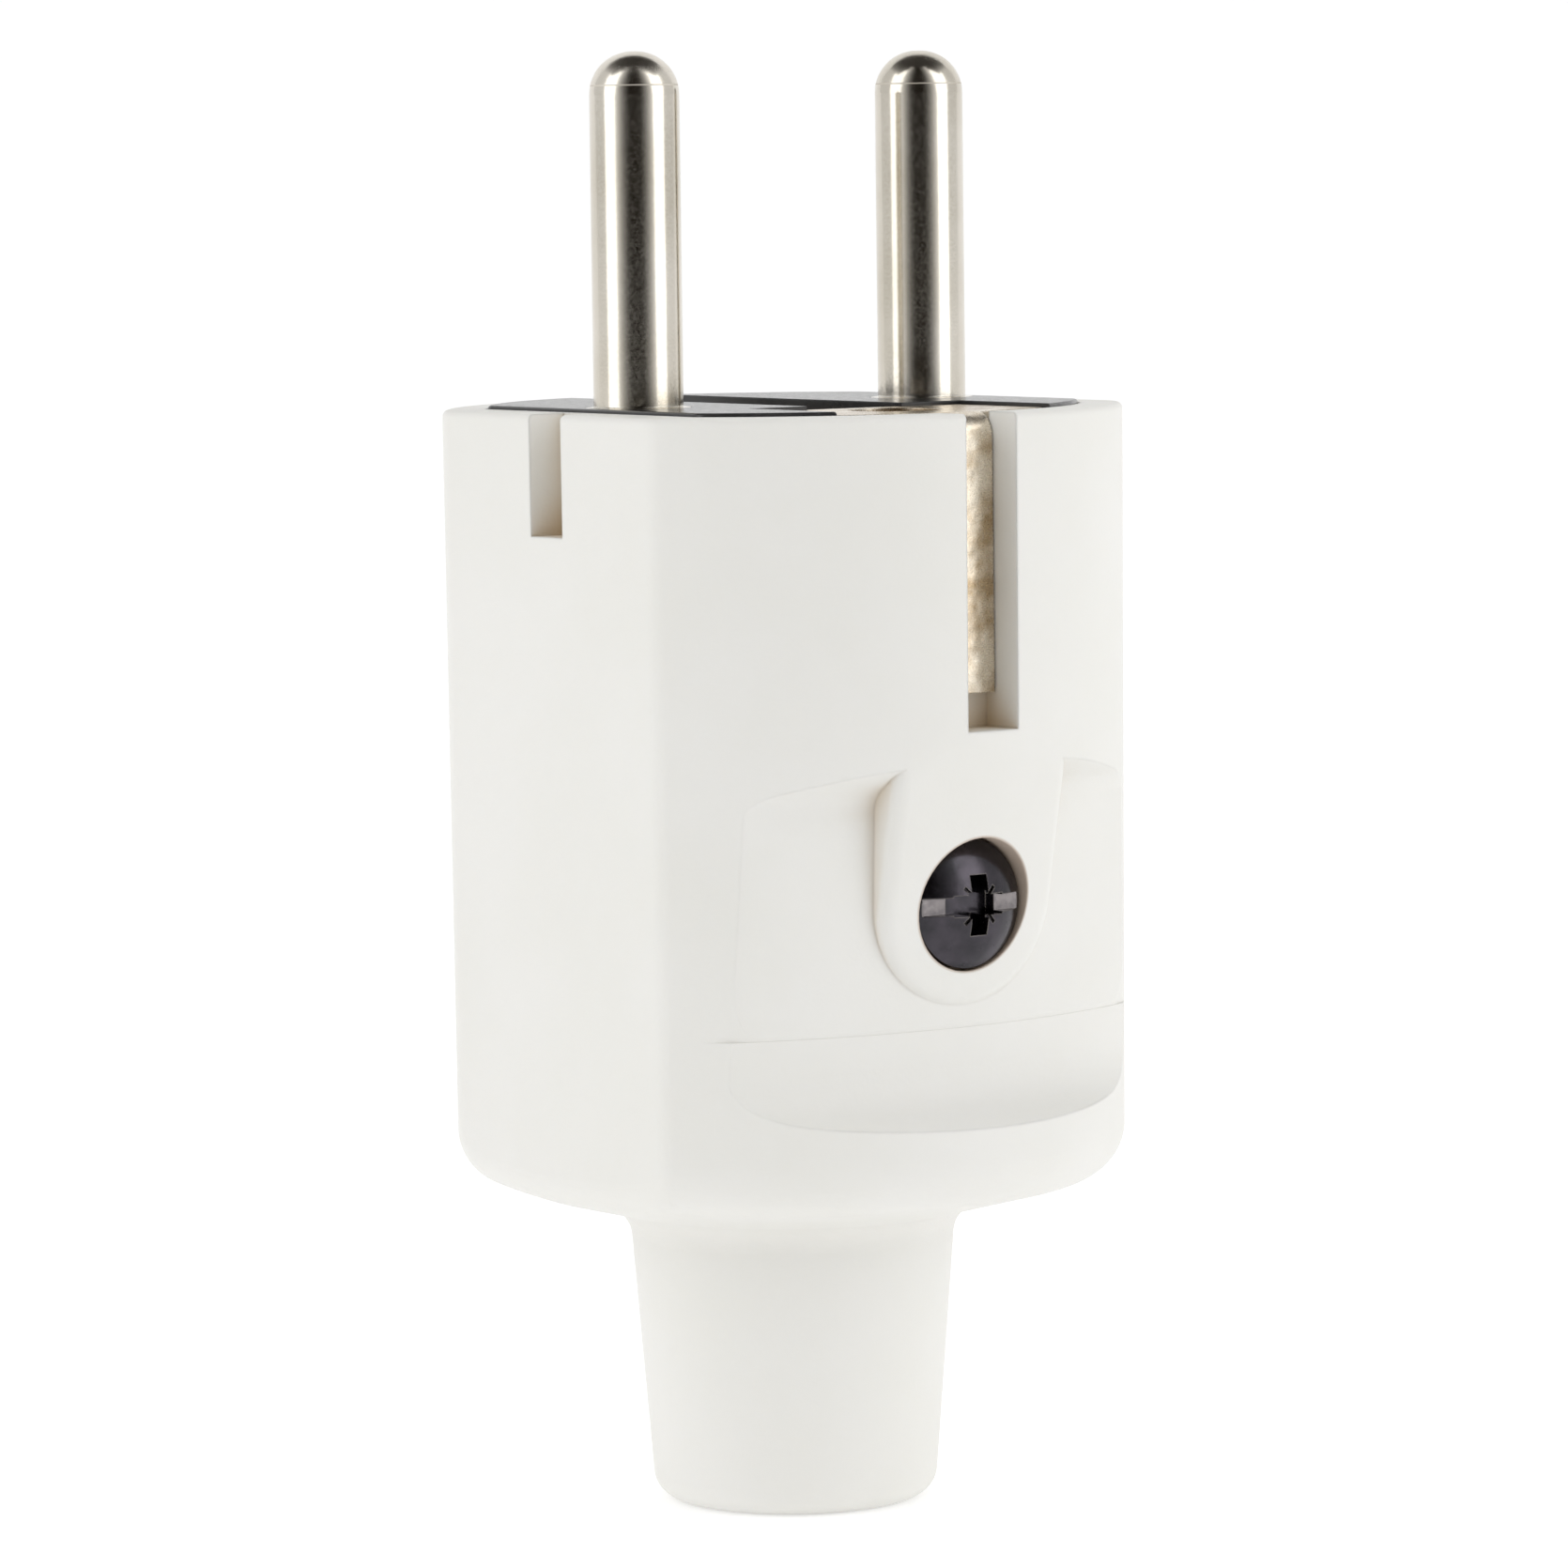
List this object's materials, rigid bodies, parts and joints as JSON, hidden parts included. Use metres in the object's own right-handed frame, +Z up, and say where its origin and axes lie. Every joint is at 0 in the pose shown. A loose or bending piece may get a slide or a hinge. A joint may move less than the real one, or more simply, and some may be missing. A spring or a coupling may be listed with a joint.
{
  "type": "type f plug",
  "caption": "Rewireable earthed mains plug: white moulded hood with grip recess and gland, black carrier, round nickel pins, side earth contacts and an earth socket.",
  "frame": {"origin": "centre of the gland's end ring, on the surface that the plug stands on", "axes": "+Z up along the pins, X along the line of the pins, -Y towards the broad side with the screw"},
  "size_m": [0.0312, 0.0366, 0.0785],
  "materials": {
    "hood_plastic": "white polyamide moulding with a fine eroded grain",
    "carrier_plastic": "black glass-filled polyamide moulding",
    "nickel_pin": "turned brass with satin nickel plate",
    "nickel_strip": "pressed brass strip with dull nickel plate",
    "terminal_brass": "milled brass",
    "spring_bronze": "rolled spring bronze",
    "zinc_steel": "bright zinc-plated steel",
    "black_steel": "blackened steel, half gloss"
  },
  "bodies": {
    "root": {"hood": "hood_plastic", "contact_carrier": "carrier_plastic", "pin_left": "nickel_pin", "pin_right": "nickel_pin", "pin_terminal_screw_left": "zinc_steel", "pin_terminal_screw_right": "zinc_steel", "pressure_leaf_left": "spring_bronze", "pressure_leaf_right": "spring_bronze", "pin_retainer": "carrier_plastic", "pin_retainer_screw": "zinc_steel", "earth_stirrup": "nickel_strip", "earth_socket_sleeve": "nickel_strip", "earth_sleeve_spring": "zinc_steel", "earth_rivet": "nickel_strip", "earth_terminal_block": "terminal_brass", "earth_clamp_plate": "zinc_steel", "earth_terminal_screw": "zinc_steel", "cord_clamp_saddle": "carrier_plastic", "cord_clamp_screw_left": "zinc_steel", "cord_clamp_screw_right": "zinc_steel", "housing_screw": "black_steel", "housing_screw_nut": "zinc_steel"}
  },
  "joints": []
}
